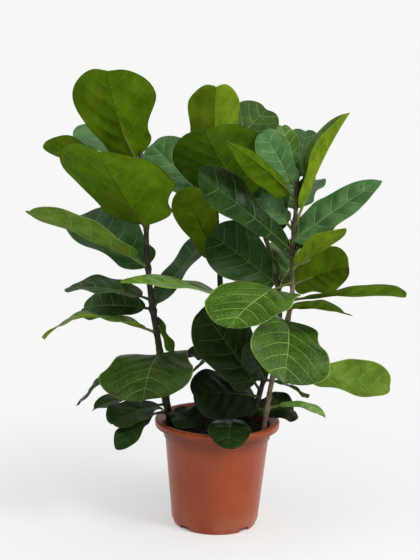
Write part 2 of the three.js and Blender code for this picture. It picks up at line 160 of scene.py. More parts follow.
bpy.ops.mesh.primitive_circle_add(vertices=FLOOR_SIDES, radius=FLOOR_RADIUS, fill_type="NGON")
floor = bpy.context.object
floor.name = "floor"
floor_paint, tree, shader = new_material("floor_paint")
tree.nodes.remove(shader)
inputs = {0: own_place(tree)}
away = add_node(tree, "ShaderNodeVectorMath", inputs, operation="LENGTH").outputs["Value"]
paint = add_node(tree, "ShaderNodeBsdfDiffuse", {"Color": (FLOOR_PAINT,) * 3})
glow = add_node(tree, "ShaderNodeEmission", {"Strength": BACKDROP_WHITE})
faded = ramp(tree, away, *FLOOR_FADE, FLOOR_GLOW_AT_POT, 1.0)
faded = maths(tree, "MULTIPLY", faded, ramp(tree, away, *FOOT_SHADE))
inputs = {0: faded, 1: paint.outputs[0], 2: glow.outputs[0]}
surface = add_node(tree, "ShaderNodeMixShader", inputs)
set_inputs(tree, tree.nodes["Material Output"], {"Surface": surface.outputs[0]})
floor.data.materials.append(floor_paint)

# --------------------------------------------------------------------------- pot
# One injection moulding in satin terracotta-coloured plastic: a turned-down rim, a
# collar, a tapered body, and a foot ring with four drain notches.

MM = 0.001
POT_HEIGHT = 206
RIM_RADIUS = 120
RIM_DEPTH = 14
MOUTH_RADIUS = 111
COLLAR_RADIUS = 102.5
STEP_Z = 172
BODY_TOP_RADIUS = 99.5
BODY_FOOT_RADIUS = 84
WALL = 2.5
FOOT_RADIUS = 80.5
FOOT_HEIGHT = 8
HUB_RADIUS = 30
NOTCH_COUNT = 4
FIRST_NOTCH = 45
NOTCH = (30, 22, 14)
POT_SIDES = 144
EDGE_ROUNDING = 0.7
ROUNDED_FROM = 14

FLOOR_TOP = FOOT_HEIGHT + WALL
INNER_FOOT_RADIUS = BODY_FOOT_RADIUS - WALL - 2
INNER_STEP_RADIUS = BODY_TOP_RADIUS - WALL
INNER_COLLAR_RADIUS = COLLAR_RADIUS - WALL

pot_outline = [
    (0, 0),
    (HUB_RADIUS, 0),
    (HUB_RADIUS + 3, FOOT_HEIGHT),
    (FOOT_RADIUS - 6, FOOT_HEIGHT),
    (FOOT_RADIUS - 4, 0),
    (FOOT_RADIUS - 1, 0),
    (FOOT_RADIUS, FOOT_HEIGHT),
    (BODY_FOOT_RADIUS - 0.6, FOOT_HEIGHT + 1),
    (BODY_FOOT_RADIUS, FOOT_HEIGHT + 5),
    (BODY_TOP_RADIUS, STEP_Z - 2),
    (COLLAR_RADIUS, STEP_Z),
    (COLLAR_RADIUS + 1, POT_HEIGHT - 9),
    (COLLAR_RADIUS + 5, POT_HEIGHT - 4.5),
    (RIM_RADIUS - 4, POT_HEIGHT - 5),
    (RIM_RADIUS - 3.5, POT_HEIGHT - RIM_DEPTH),
    (RIM_RADIUS - 1, POT_HEIGHT - RIM_DEPTH),
    (RIM_RADIUS, POT_HEIGHT - 4),
    (RIM_RADIUS - 2, POT_HEIGHT - 0.5),
    (RIM_RADIUS - 4, POT_HEIGHT),
    (MOUTH_RADIUS, POT_HEIGHT - 1),
    (INNER_COLLAR_RADIUS + 1, POT_HEIGHT - 9),
    (INNER_COLLAR_RADIUS, STEP_Z + 1),
    (INNER_STEP_RADIUS, STEP_Z - 5),
    (INNER_FOOT_RADIUS, FLOOR_TOP + 3),
    (INNER_FOOT_RADIUS - 3, FLOOR_TOP),
    (0, FLOOR_TOP),
]


def apply_modifier(piece, kind, **settings):
    """Adds a modifier and applies it at once."""
    bpy.context.view_layer.objects.active = piece
    modifier = piece.modifiers.new(kind, kind)
    for name, value in settings.items():
        setattr(modifier, name, value)
    bpy.ops.object.modifier_apply(modifier=modifier.name)


def select_only(piece):
    """Makes piece the one selected, active object."""
    bpy.ops.object.select_all(action="DESELECT")
    piece.select_set(True)
    bpy.context.view_layer.objects.active = piece


def shade_smooth(degrees):
    """Shades the selected piece smoothly but for edges sharper than so many degrees."""
    bpy.ops.object.shade_smooth_by_angle(angle=math.radians(degrees))


def face_outwards():
    """Turns all faces of the piece that is in edit mode outwards."""
    bpy.ops.mesh.select_all(action="SELECT")
    bpy.ops.mesh.normals_make_consistent(inside=False)


def lathe(name, outline, sides):
    """A closed body, spun round the Z axis from an outline of (radius, height)."""
    mesh = bpy.data.meshes.new(name)
    edges = [(i, i + 1) for i in range(len(outline) - 1)]
    mesh.from_pydata([(r * MM, 0, z * MM) for r, z in outline], edges, [])
    piece = bpy.data.objects.new(name, mesh)
    bpy.context.collection.objects.link(piece)
    select_only(piece)
    bpy.ops.object.mode_set(mode="EDIT")
    bpy.ops.mesh.select_all(action="SELECT")
    bpy.ops.mesh.spin(steps=sides, angle=2 * math.pi, center=(0, 0, 0), axis=(0, 0, 1))
    bpy.ops.mesh.select_all(action="SELECT")
    bpy.ops.mesh.remove_doubles(threshold=1e-5)
    face_outwards()
    bpy.ops.object.mode_set(mode="OBJECT")
    return piece


pot = lathe("nursery_pot", pot_outline, POT_SIDES)
for number in range(NOTCH_COUNT):
    bpy.ops.mesh.primitive_cube_add(size=1)
    cutter = bpy.context.object
    turn = Matrix.Rotation(math.radians(FIRST_NOTCH + 360 / NOTCH_COUNT * number), 4, "Z")
    shift = Matrix.Translation(((FOOT_RADIUS + 2) * MM, 0, 0))
    size = Matrix.Diagonal([*(side * MM for side in NOTCH), 1])
    cutter.data.transform(turn @ shift @ size)
    apply_modifier(pot, "BOOLEAN", object=cutter, operation="DIFFERENCE", solver="EXACT")
    bpy.data.objects.remove(cutter)
apply_modifier(
    pot,
    "BEVEL",
    width=EDGE_ROUNDING * MM,
    segments=3,
    limit_method="ANGLE",
    angle_limit=math.radians(ROUNDED_FROM),
)
select_only(pot)
shade_smooth(35)


def blend_colours(tree, amount, low, high):
    """A colour between low and high."""
    inputs = {0: amount, 6: low, 7: high}
    return add_node(tree, "ShaderNodeMix", inputs, data_type="RGBA").outputs[2]


def soft_noise(tree, place, scale, detail):
    """Soft noise from 0 to 1."""
    inputs = {"Vector": place, "Scale": scale, "Detail": detail}
    return add_node(tree, "ShaderNodeTexNoise", inputs).outputs[0]


def relief(tree, height, strength, depth):
    """The bent normals of a small relief, where a height of 1 is so many metres."""
    inputs = {"Strength": strength, "Distance": depth, "Height": height}
    return add_node(tree, "ShaderNodeBump", inputs).outputs[0]


POT_DEEP = (0.250, 0.034, 0.004)
POT_LIGHT = (0.350, 0.054, 0.006)
POT_FADED = (0.39, 0.085, 0.020)
# painted shade for the collar, in the shadow of the rim and the leaves
POT_PAINTED_SHADE = (0.120, 0.020, 0.005)
POT_SPLASH = (0.38, 0.17, 0.10)
STREAK_SCALE = (55, 55, 5)
# heights where the collar's painted shade fades in and out
PAINTED_SHADE_FROM = (0.150, 0.185)
PAINTED_SHADE_TO = (0.201, 0.195)
SPLASHED_BELOW = (0.05, 0.0)

pot_plastic, tree, shader = new_material("pot_plastic_finish")
spot = own_place(tree)
flow = add_node(tree, "ShaderNodeMapping", {"Vector": spot, "Scale": STREAK_SCALE}).outputs[0]
streaks = soft_noise(tree, flow, 1.0, 3.0)
cloud = soft_noise(tree, spot, 14.0, 4.0)
grain = soft_noise(tree, spot, 900.0, 1.0)
height = add_node(tree, "ShaderNodeSeparateXYZ", {0: spot}).outputs["Z"]
colour = blend_colours(tree, streaks, POT_DEEP, POT_LIGHT)
colour = blend_colours(tree, ramp(tree, cloud, 0.35, 0.75, 0.0, 0.3), colour, POT_FADED)
# painted shade darkens the collar in blotches under the rim and the leaves, and splashes have paled
# the foot
collar_shade = ramp(tree, height, *PAINTED_SHADE_FROM, 0.0, 0.75)
collar_shade = maths(tree, "MULTIPLY", collar_shade, ramp(tree, cloud, 0.3, 0.6, 0.4, 1.0))
collar_shade = maths(tree, "MULTIPLY", collar_shade, ramp(tree, height, *PAINTED_SHADE_TO))
colour = blend_colours(tree, collar_shade, colour, POT_PAINTED_SHADE)
splash = ramp(tree, height, *SPLASHED_BELOW, 0.0, 0.5)
splash = maths(tree, "MULTIPLY", splash, ramp(tree, cloud, 0.4, 0.65))
colour = blend_colours(tree, splash, colour, POT_SPLASH)
set_inputs(tree, shader, {
    "Base Color": colour,
    "Roughness": ramp(tree, cloud, 0.3, 0.7, 0.28, 0.4),
    "Specular IOR Level": 0.38,
    "Normal": relief(tree, grain, 0.12, 0.0004),
})
pot.data.materials.append(pot_plastic)
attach(pot, "root")
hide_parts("pot")

# -------------------------------------------------------------------------- soil
# The root ball of dark peat mix fills the pot to a finger below the rim. Its top is
# lumpy, and only the pot's wall holds it.

SOIL_TOP = 184
SOIL_CELLS = 90
SOIL_GAP = 1.3
SOIL_FOOT_GAP = 4
SOIL_FLOOR_GAP = 1
# layer of noise, how close together its lumps are, and their height
SOIL_LUMPS = ((0, 26, 3.2), (3, 90, 1.5), (7, 330, 0.8))
# the peat's colours are painted darker than peat itself, as painted shade for the shaded inside of
# the pot under the leaves
PEAT_SHADED_DARK = (0.006, 0.004, 0.0025)
PEAT_SHADED_LIGHT = (0.024, 0.016, 0.010)


def soil_height(x, y):
    """Height in metres of the soil's uneven top at a place in metres."""
    lumps = [noise.noise(Vector((x, y, layer)) * near) * high for layer, near, high in SOIL_LUMPS]
    return (SOIL_TOP + sum(lumps)) * MM


bpy.ops.mesh.primitive_grid_add(x_subdivisions=SOIL_CELLS, y_subdivisions=SOIL_CELLS, size=2)
soil = bpy.context.object
soil.name = "peat_soil"
bpy.ops.object.mode_set(mode="EDIT")
bpy.ops.mesh.select_all(action="DESELECT")
bpy.ops.mesh.select_non_manifold()
bpy.ops.mesh.extrude_region_move(TRANSFORM_OT_translate={"value": (0, 0, -1)})
bpy.ops.mesh.edge_face_add()
bpy.ops.object.mode_set(mode="OBJECT")
soil_radius = (INNER_COLLAR_RADIUS - SOIL_GAP) * MM
foot_share = (INNER_FOOT_RADIUS - SOIL_FOOT_GAP) / INNER_COLLAR_RADIUS
for vertex in soil.data.vertices:
    x, y, deep = vertex.co
    # a square's rows are drawn in to a round
    across = x * math.sqrt(1 - y * y / 2) * soil_radius
    along = y * math.sqrt(1 - x * x / 2) * soil_radius
    if deep < -0.5:
        vertex.co = (across * foot_share, along * foot_share, (FLOOR_TOP + SOIL_FLOOR_GAP) * MM)
    else:
        vertex.co = (across, along, soil_height(across, along))
select_only(soil)
bpy.ops.object.mode_set(mode="EDIT")
face_outwards()
bpy.ops.object.mode_set(mode="OBJECT")
shade_smooth(50)


def new_group(name, inputs, outputs):
    """A shader node group: its tree, what it is given, and the node that takes its results.

    inputs and outputs give what each socket carries: Float, Vector or Color.
    """
    group = bpy.data.node_groups.new(name, "ShaderNodeTree")
    for way, sockets in (("INPUT", inputs), ("OUTPUT", outputs)):
        for socket, kind in sockets.items():
            group.interface.new_socket(name=socket, in_out=way, socket_type="NodeSocket" + kind)
    given = group.nodes.new("NodeGroupInput").outputs
    return group, given, group.nodes.new("NodeGroupOutput")


crumbly_earth, given, results = new_group(
    "crumbly_earth",
    {"Place": "Vector", "Dark": "Color", "Light": "Color", "Scale": "Float"},
    {"Colour": "Color", "Grains": "Float"},
)
patches = soft_noise(crumbly_earth, given["Place"], given["Scale"], 5.0)
patches = ramp(crumbly_earth, patches, 0.35, 0.7)
inputs = {"Vector": given["Place"], "Scale": maths(crumbly_earth, "MULTIPLY", given["Scale"], 2.4)}
set_inputs(crumbly_earth, results, {
    "Colour": blend_colours(crumbly_earth, patches, given["Dark"], given["Light"]),
    "Grains": add_node(crumbly_earth, "ShaderNodeTexVoronoi", inputs).outputs[0],
})


def earth(name, dark, light, scale):
    """A rough, dull, crumbly finish between two colours."""
    material, tree, shader = new_material(name)
    inputs = {"Place": own_place(tree), "Dark": dark, "Light": light, "Scale": scale}
    crumbly = add_node(tree, "ShaderNodeGroup", inputs, node_tree=crumbly_earth).outputs
    set_inputs(tree, shader, {
        "Base Color": crumbly["Colour"],
        "Roughness": 0.95,
        "Specular IOR Level": 0.12,
        "Normal": relief(tree, crumbly["Grains"], 0.6, 0.001),
    })
    return material


soil.data.materials.append(earth("peat_finish", PEAT_SHADED_DARK, PEAT_SHADED_LIGHT, 180))
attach(soil, "root")
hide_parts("soil")

# ------------------------------------------------ crumbs, bark chips and perlite
# What lies loose on the soil: crumbs of peat, chips of bark, and a few pale grains of
# perlite, a puffed volcanic glass. Each is sunk a little into the soil.

# how many, the smallest and the largest, and their colour
CRUMB_KINDS = {
    "peat_crumbs": (420, (1.2, 3.6), (0.022, 0.014, 0.009)),
    "bark_chips": (90, (2.5, 6.0), (0.065, 0.036, 0.019)),
    "perlite_grains": (40, (0.9, 1.9), (0.52, 0.50, 0.44)),
}
CRUMB_STRETCH = ((0.7, 1.5), (0.6, 1.1), (0.4, 0.8))
CRUMB_KNOBS = (0.75, 1.2)
CRUMB_TILT = (-0.5, 0.5)
CRUMB_STANDS = 0.12
CLEAR_OF_WALL = 7
TINT_SHARES = (0.6, 1.3)

draw = random.Random(7)
for name, (count, sizes, tint) in CRUMB_KINDS.items():
    bpy.ops.mesh.primitive_ico_sphere_add(subdivisions=1, radius=0.5)
    seed = bpy.context.object
    corners = np.array([vertex.co for vertex in seed.data.vertices])
    faces = np.array([face.vertices[:] for face in seed.data.polygons])
    bpy.data.objects.remove(seed)
    points = []
    triangles = []
    for number in range(count):
        reach = (INNER_COLLAR_RADIUS - CLEAR_OF_WALL) * MM * math.sqrt(draw.random())
        angle = draw.uniform(0, 2 * math.pi)
        x, y = reach * math.cos(angle), reach * math.sin(angle)
        size = draw.uniform(*sizes) * MM
        stretch = [size * draw.uniform(*share) for share in CRUMB_STRETCH]
        turn = Matrix.Rotation(draw.uniform(0, 2 * math.pi), 3, "Z")
        tilt = Matrix.Rotation(draw.uniform(*CRUMB_TILT), 3, "X")
        knobbly = corners * np.array([[draw.uniform(*CRUMB_KNOBS)] for _ in corners])
        place = (x, y, soil_height(x, y) + size * CRUMB_STANDS)
        points.append((knobbly * stretch) @ np.array(turn @ tilt).T + place)
        triangles.append(faces + number * len(corners))
    mesh = bpy.data.meshes.new(name)
    mesh.from_pydata(np.concatenate(points).tolist(), [], np.concatenate(triangles).tolist())
    crumbs = bpy.data.objects.new(name, mesh)
    bpy.context.collection.objects.link(crumbs)
    dark, light = ([part * share for part in tint] for share in TINT_SHARES)
    crumbs.data.materials.append(earth(name + "_finish", dark, light, 400))
    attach(crumbs, "root")

# ------------------------------------------------------------------------- stems
# Four slender woody stems, rooted in the soil, that grew joint by joint. Each has a slight
# swelling at every leaf, ring-shaped scars, thin bark that is green when young and brown
# or pale when old, and a pointed bud in a papery sheath on top.

# Where each leaf grows from its stem and how it lies. at: height of its joint on the
# stem; tip: where the blade ends; face: the way its upper side looks; wide: greatest
# width; arch, bow: how far the midrib bends upwards and sideways; curl: how far it humps
# before it bends down to the tip; fold: degrees each half is raised; wave: height of the
# margin's waves; stalk: its length; tone: which of four greens. The outline is set by
# waist, the narrow part's share of the width; lobes, how much fuller the base is than
# that; widest, where the greatest width lies; taper, how pointed it ends; and notch, how
# deep the tip is notched.
LEAVES = {
    "left": [
        {"at": 680, "tip": (-217, -25, 856), "face": (0.3, 0.95, 0.1),
         "wide": 166, "bow": 14, "waist": 0.57, "notch": 7, "tone": "mid"},
        {"at": 567, "tip": (-223, -130, 718), "face": (0.35, 0.6, 0.72),
         "wide": 240, "bow": 13, "waist": 0.64, "widest": 0.5, "lobes": 0.05, "stalk": 16,
         "tone": "mid"},
        {"at": 650, "tip": (-344, 50, 715), "face": (-0.1, 0.6, 0.8),
         "wide": 96, "taper": 0.8, "tone": "mid"},
        {"at": 662, "tip": (-270, 145, 754), "face": (0.1, -0.6, 0.8),
         "wide": 115, "tone": "blue"},
        {"at": 493, "tip": (-346, -105, 605), "face": (0.35, 0.5, 0.8),
         "wide": 118, "arch": 10, "wave": 2, "stalk": 44, "tone": "blue"},
        {"at": 492, "tip": (-277, 150, 577), "face": (0.3, -0.75, 0.6),
         "wide": 140, "bow": -4, "stalk": 14, "tone": "blue"},
        {"at": 431, "tip": (-295, 60, 442), "face": (0, -0.15, 1),
         "wide": 105, "arch": 10, "tone": "dark"},
        {"at": 368, "tip": (-333, -4, 352), "face": (0, 0.08, 1),
         "wide": 76, "arch": 10, "curl": 60, "fold": 8, "wave": 5, "tone": "young"},
        {"at": 410, "tip": (-101, 42, 325), "face": (1, 0.5, 0),
         "wide": 80, "arch": 4, "stalk": 24, "tone": "dark"},
        {"at": 414, "tip": (-12, 138, 559), "face": (-0.6, -0.5, 0.5),
         "wide": 72, "waist": 0.9, "stalk": 20, "tone": "blue"},
        {"at": 333, "tip": (-134, -165, 280), "face": (-0.16, -0.4, 0.9),
         "wide": 176, "arch": 14, "waist": 0.75, "tone": "mid"},
        {"at": 302, "tip": (-278, 96, 197), "face": (-0.5, -0.3, 0.85),
         "wide": 36, "arch": 26, "stalk": 60, "tone": "dark"},
        {"at": 248, "tip": (-241, 30, 210), "face": (0, -0.15, 1),
         "wide": 82, "arch": 8, "tone": "dark"},
        {"at": 228, "tip": (-193, -95, 216), "face": (0, -0.3, 0.95),
         "wide": 82, "arch": 10, "tone": "dark"},
        {"at": 212, "tip": (-174, -130, 178), "face": (-0.3, -0.2, 0.9),
         "wide": 60, "arch": 22, "stalk": 56, "tone": "dark"},
        {"at": 212, "tip": (-38, -80, 211), "face": (0, -0.5, 0.85),
         "wide": 68, "arch": 12, "tone": "dark"},
        {"at": 240, "tip": (0, 85, 316), "face": (-0.6, 0.1, 0.75),
         "wide": 50, "arch": 4, "stalk": 40, "tone": "blue"},
        {"at": 598, "tip": (-200, 190, 668), "face": (0.2, -0.3, 0.95),
         "wide": 132, "arch": 14, "tone": "mid"},
        {"at": 414, "tip": (-274, 140, 387), "face": (0.05, -0.9, 0.45),
         "wide": 64, "arch": 16, "stalk": 26, "tone": "dark"},
    ],
    "middle": [
        {"at": 715, "tip": (-19, 0, 833), "face": (-0.1, 1, 0.1),
         "wide": 114, "fold": 30, "waist": 0.9, "widest": 0.5, "taper": 0.62, "notch": 6,
         "stalk": 18, "tone": "young"},
        {"at": 690, "tip": (81, 112, 793), "face": (-0.2, -0.9, 0.3),
         "wide": 98, "wave": 1.5, "notch": 7, "stalk": 44, "tone": "mid"},
        {"at": 603, "tip": (-140, 75, 722), "face": (0, -0.9, 0.35), "wide": 100, "tone": "blue"},
        {"at": 492, "tip": (-73, -20, 644), "face": (0, 1, 0.2), "wide": 82, "tone": "mid"},
        {"at": 440, "tip": (-179, -122, 484), "face": (0, -0.22, 1),
         "wide": 84, "arch": 8, "wave": 2, "waist": 1, "widest": 0.4, "taper": 0.8, "stalk": 8,
         "tone": "young"},
        {"at": 199, "tip": (20, -166, 197), "face": (0, -0.1, 1),
         "wide": 80, "arch": 0, "curl": 38, "wave": 2, "widest": 0.68, "notch": 1, "stalk": 60,
         "tone": "dark"},
        {"at": 296, "tip": (-62, 24, 326), "face": (0.2, -0.3, 0.9),
         "wide": 40, "arch": 6, "stalk": 40, "tone": "dark"},
        {"at": 655, "tip": (20, 220, 735), "face": (0, -0.3, 0.95),
         "wide": 134, "arch": 14, "tone": "mid"},
    ],
    "inner": [
        {"at": 614, "tip": (-37, -52, 755), "face": (0.25, 0.9, 0.2),
         "wide": 178, "bow": 11, "waist": 0.75, "widest": 0.6, "tone": "dark"},
        {"at": 552, "tip": (72, 62, 655), "face": (-0.2, -0.95, 0.2),
         "wide": 112, "waist": 0.8, "stalk": 14, "tone": "dark"},
        {"at": 465, "tip": (-22, -10, 563), "face": (0.15, -0.95, 0.25),
         "wide": 112, "stalk": 14, "tone": "dark"},
        {"at": 257, "tip": (-36, -34, 423), "face": (0.2, -0.9, 0.3),
         "wide": 118, "waist": 0.75, "tone": "dark"},
        {"at": 279, "tip": (49, -60, 367), "face": (0.3, -0.9, 0.1),
         "wide": 58, "stalk": 22, "tone": "dark"},
        {"at": 279, "tip": (170, 50, 238), "face": (0.2, 0.1, 1),
         "wide": 60, "arch": 8, "tone": "dark"},
        {"at": 245, "tip": (-47, -70, 270), "face": (0.1, -0.75, 0.62),
         "wide": 108, "arch": 10, "fold": -8, "waist": 0.8, "stalk": 16, "tone": "dark"},
        {"at": 450, "tip": (168, 190, 520), "face": (0, -0.6, 0.8),
         "wide": 122, "arch": 12, "tone": "mid"},
        {"at": 216, "tip": (150, 40, 212), "face": (0.1, -0.6, 0.8),
         "wide": 74, "arch": 14, "stalk": 8, "tone": "dark"},
    ],
    "right": [
        {"at": 579, "tip": (224, -35, 792), "face": (-0.9, -0.12, 0.45),
         "wide": 84, "fold": 50, "wave": 1, "waist": 0.55, "widest": 0.55, "taper": 0.9,
         "stalk": 46, "tone": "young"},
        {"at": 632, "tip": (0, -150, 740), "face": (-0.3, 0.85, -0.3),
         "wide": 58, "arch": -10, "fold": 34, "wave": 1.5, "waist": 0.9, "widest": 0.45,
         "taper": 1.2, "stalk": 34, "tone": "mid"},
        {"at": 652, "tip": (68, -44, 754), "face": (-0.2, -0.95, 0.25),
         "wide": 62, "wave": 2, "stalk": 20, "tone": "blue"},
        {"at": 664, "tip": (104, 0, 765), "face": (0.2, -0.95, 0.2),
         "wide": 44, "stalk": 12, "tone": "mid"},
        {"at": 655, "tip": (154, 66, 755), "face": (0, -0.95, 0.3),
         "wide": 64, "stalk": 30, "tone": "blue"},
        {"at": 551, "tip": (291, -15, 670), "face": (-0.45, -0.65, 0.65),
         "wide": 80, "wave": 2, "waist": 0.9, "widest": 0.38, "taper": 0.75, "stalk": 14,
         "tone": "blue"},
        {"at": 528, "tip": (204, 60, 588), "face": (-0.3, -0.7, 0.6), "wide": 66, "tone": "dark"},
        {"at": 500, "tip": (220, -92, 587), "face": (-0.3, 0.55, 0.75),
         "wide": 72, "wave": 1, "widest": 0.5, "taper": 0.9, "stalk": 24, "tone": "young"},
        {"at": 471, "tip": (243, 26, 502), "face": (-0.2, 0.9, 0.3),
         "wide": 102, "waist": 0.6, "stalk": 14, "tone": "mid"},
        {"at": 443, "tip": (345, -30, 459), "face": (-0.05, 0.38, 0.92),
         "wide": 105, "arch": 6, "wave": 1.5, "waist": 0.4, "widest": 0.62, "tone": "mid"},
        {"at": 428, "tip": (226, -90, 434), "face": (-0.25, 0.64, 0.8),
         "wide": 92, "arch": 5, "wave": 1, "waist": 0.46, "widest": 0.8, "stalk": 18,
         "tone": "mid"},
        {"at": 405, "tip": (112, -165, 321), "face": (0.38, -0.42, 0.82),
         "wide": 162, "arch": 12, "fold": 14, "waist": 0.69, "widest": 0.69, "stalk": 18,
         "tone": "mid"},
        {"at": 296, "tip": (319, -60, 294), "face": (0, 0.85, 0.5),
         "wide": 98, "arch": 10, "wave": 2, "stalk": 72, "tone": "blue"},
        {"at": 476, "tip": (16, -190, 423), "face": (-0.18, -0.4, 0.9),
         "wide": 160, "arch": 9, "bow": 8, "waist": 0.9, "widest": 0.5, "stalk": 62,
         "tone": "mid"},
        {"at": 534, "tip": (-47, -110, 678), "face": (0.35, -0.7, 0.6),
         "wide": 98, "waist": 0.46, "widest": 0.74, "stalk": 14, "tone": "dark"},
        {"at": 572, "tip": (67, 14, 630), "face": (0.2, -0.8, 0.5),
         "wide": 60, "stalk": 28, "tone": "blue"},
        {"at": 232, "tip": (204, -30, 221), "face": (0.1, 0.02, 1),
         "wide": 66, "arch": 14, "wave": 1, "tone": "mid"},
        {"at": 592, "tip": (158, 180, 650), "face": (-0.1, -0.3, 0.95),
         "wide": 106, "arch": 14, "stalk": 52, "tone": "blue"},
    ],
}

STEM_SIDES = 20
STEPS_A_SPAN = 14
BUD_SPANS = 3
LEVEL_SLACK = 0.12
JOINT_SWELLING = 0.9
JOINT_LENGTH = 5.0
SCAR_SPACING = 13.0
SCAR_HEIGHT = 0.28
SCAR_WIDTH = 0.07
SCAR_DRIFT = 0.4
SCAR_DRIFT_LENGTH = 31
UNEVEN_SHARE = 0.07
UNEVEN_ROUND = 1.6
UNEVEN_LENGTH = 16
YOUNG_FRINGE = 0.2


def stem_rings(which):
    """Centres and radii of the solid stem's rings from its foot to its tip."""
    corners = [vertex.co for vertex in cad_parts["stem_" + which].data.vertices]
    corners = np.unique(np.round(np.array(corners) / MM, 2), axis=0)
    centres, radii = [], []
    for level in np.unique(np.round(corners[:, 2], 1)):
        ring = corners[np.abs(corners[:, 2] - level) < LEVEL_SLACK]
        centre = ring.mean(0)
        centres.append(centre)
        radii.append(np.hypot(*(ring - centre)[:, :2].T).max())
    return np.array(centres), np.array(radii)


def smooth_line(points, steps):
    """Points on a smooth curve through the given ones, with so many steps between two."""
    before, after = 2 * points[:1] - points[1:2], 2 * points[-1:] - points[-2:-1]
    padded = np.concatenate([before, points, after])
    line = []
    for a, b, c, d in zip(padded, padded[1:], padded[2:], padded[3:]):
        for share in np.arange(steps) / steps:
            line.append(
                0.5 * (2 * b + (c - a) * share + (2 * a - 5 * b + 4 * c - d) * share**2
                       + (3 * b - a - 3 * c + d) * share**3)
            )
    line.append(points[-1])
    return np.array(line)


def on_line(line, height):
    """The place on a stem's middle line at a height."""
    return [np.interp(height, line[:, 2], line[:, axis]) for axis in range(3)]


def add_tube(name, centres, radii, sides):
    """A closed tube from a grid that is rolled up, with level rings and radii all round."""
    rows = len(centres)
    bpy.ops.mesh.primitive_grid_add(x_subdivisions=sides, y_subdivisions=rows - 1, size=2)
    tube = bpy.context.object
    tube.name = name
    flat = np.array([vertex.co for vertex in tube.data.vertices])
    column = np.rint((flat[:, 0] + 1) / 2 * sides).astype(int) % sides
    row = np.rint((flat[:, 1] + 1) / 2 * (rows - 1)).astype(int)
    angle = -2 * math.pi * column / sides
    reach = radii[row, column]
    spots = centres[row]
    spots[:, 0] += reach * np.cos(angle)
    spots[:, 1] += reach * np.sin(angle)
    tube.data.vertices.foreach_set("co", (spots * MM).ravel())
    bpy.ops.object.mode_set(mode="EDIT")
    bpy.ops.mesh.select_all(action="SELECT")
    bpy.ops.mesh.remove_doubles(threshold=1e-6)
    bpy.ops.mesh.select_all(action="DESELECT")
    bpy.ops.mesh.select_non_manifold()
    bpy.ops.mesh.fill_holes(sides=0)
    face_outwards()
    bpy.ops.object.mode_set(mode="OBJECT")
    return tube


group, given, results = new_group(
    "flaky_bark",
    {"Place": "Vector", "Deep": "Color", "Light": "Color", "Specks": "Color"},
    {"Colour": "Color", "Flakes": "Float"},
)
flaky_bark = group
spot = given["Place"]
drawn = add_node(group, "ShaderNodeMapping", {"Vector": spot, "Scale": (1, 1, 0.25)}).outputs[0]
flakes = soft_noise(group, drawn, 300.0, 5.0)
patches = soft_noise(group, spot, 45.0, 3.0)
specks = add_node(group, "ShaderNodeTexVoronoi", {"Vector": spot, "Scale": 420.0}).outputs[0]
colour = blend_colours(group, ramp(group, flakes, 0.35, 0.68), given["Deep"], given["Light"])
for mask in (ramp(group, patches, 0.42, 0.7, 0.0, 0.45), ramp(group, specks, 0.22, 0.1, 0.0, 0.6)):
    colour = blend_colours(group, mask, colour, given["Specks"])
set_inputs(group, results, {"Colour": colour, "Flakes": flakes})

# deep and light colour, and that of the specks
BARKS = {
    "brown_bark": ((0.009, 0.006, 0.004), (0.034, 0.024, 0.015), (0.085, 0.064, 0.042)),
    "pale_bark": ((0.10, 0.068, 0.038), (0.24, 0.18, 0.11), (0.34, 0.28, 0.19)),
    "green_bark": ((0.030, 0.036, 0.010), (0.085, 0.105, 0.026), (0.11, 0.10, 0.05)),
    "sheath_skin": ((0.022, 0.007, 0.004), (0.075, 0.028, 0.014), (0.13, 0.07, 0.035)),
}

barks = {}
for name, (deep, light, specks) in BARKS.items():
    barks[name], tree, shader = new_material(name)
    inputs = {"Place": own_place(tree), "Deep": deep, "Light": light, "Specks": specks}
    flaky = add_node(tree, "ShaderNodeGroup", inputs, node_tree=flaky_bark).outputs
    set_inputs(tree, shader, {
        "Base Color": flaky["Colour"],
        "Roughness": 0.8,
        "Normal": relief(tree, flaky["Flakes"], 0.6, 0.0006),
    })

# the bark that each stem has low down, and the length of its young wood
STEMS = {
    "left": ("brown_bark", 150.0),
    "middle": ("brown_bark", 150.0),
    "inner": ("brown_bark", 150.0),
    "right": ("pale_bark", 225.0),
}

# each stem's middle line, its width along it, and where its bud begins
grown = {}
for which, (bark, young_length) in STEMS.items():
    centres, radii = stem_rings(which)
    line = smooth_line(centres, STEPS_A_SPAN)
    heights = line[:, 2]
    width = np.interp(heights, centres[:, 2], radii)
    bud_foot = centres[-1 - BUD_SPANS, 2]
    wood = np.where(heights < bud_foot, 1.0, 0.0)
    for leaf in LEAVES[which]:
        swelling = np.exp(-(((heights - leaf["at"]) / JOINT_LENGTH) ** 2))
        width = width + wood * JOINT_SWELLING * swelling
    scars = heights / SCAR_SPACING + SCAR_DRIFT * np.sin(heights / SCAR_DRIFT_LENGTH)
    scars = scars % 1.0
    width = width + wood * SCAR_HEIGHT * np.exp(-(((scars - 0.5) / SCAR_WIDTH) ** 2))
    angles = 2 * math.pi * np.arange(STEM_SIDES) / STEM_SIDES
    round_it = [(math.cos(a) * UNEVEN_ROUND, math.sin(a) * UNEVEN_ROUND) for a in angles]
    uneven = [[noise.noise(Vector((*xy, z / UNEVEN_LENGTH))) for xy in round_it] for z in heights]
    radii = width[:, None] * (1 + UNEVEN_SHARE * np.array(uneven))
    stem = add_tube("stem_wood_" + which, line, radii, STEM_SIDES)
    for finish in (bark, "green_bark", "sheath_skin"):
        stem.data.materials.append(barks[finish])
    for face in stem.data.polygons:
        height = face.center.z / MM
        fringe = YOUNG_FRINGE * noise.noise(face.center * 60)
        if height > bud_foot:
            face.material_index = 2
        elif height > bud_foot - young_length * (1 - YOUNG_FRINGE + fringe):
            face.material_index = 1
    select_only(stem)
    shade_smooth(50)
    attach(stem, "root")
    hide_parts("stem_" + which)
    grown[which] = (line, width, bud_foot)

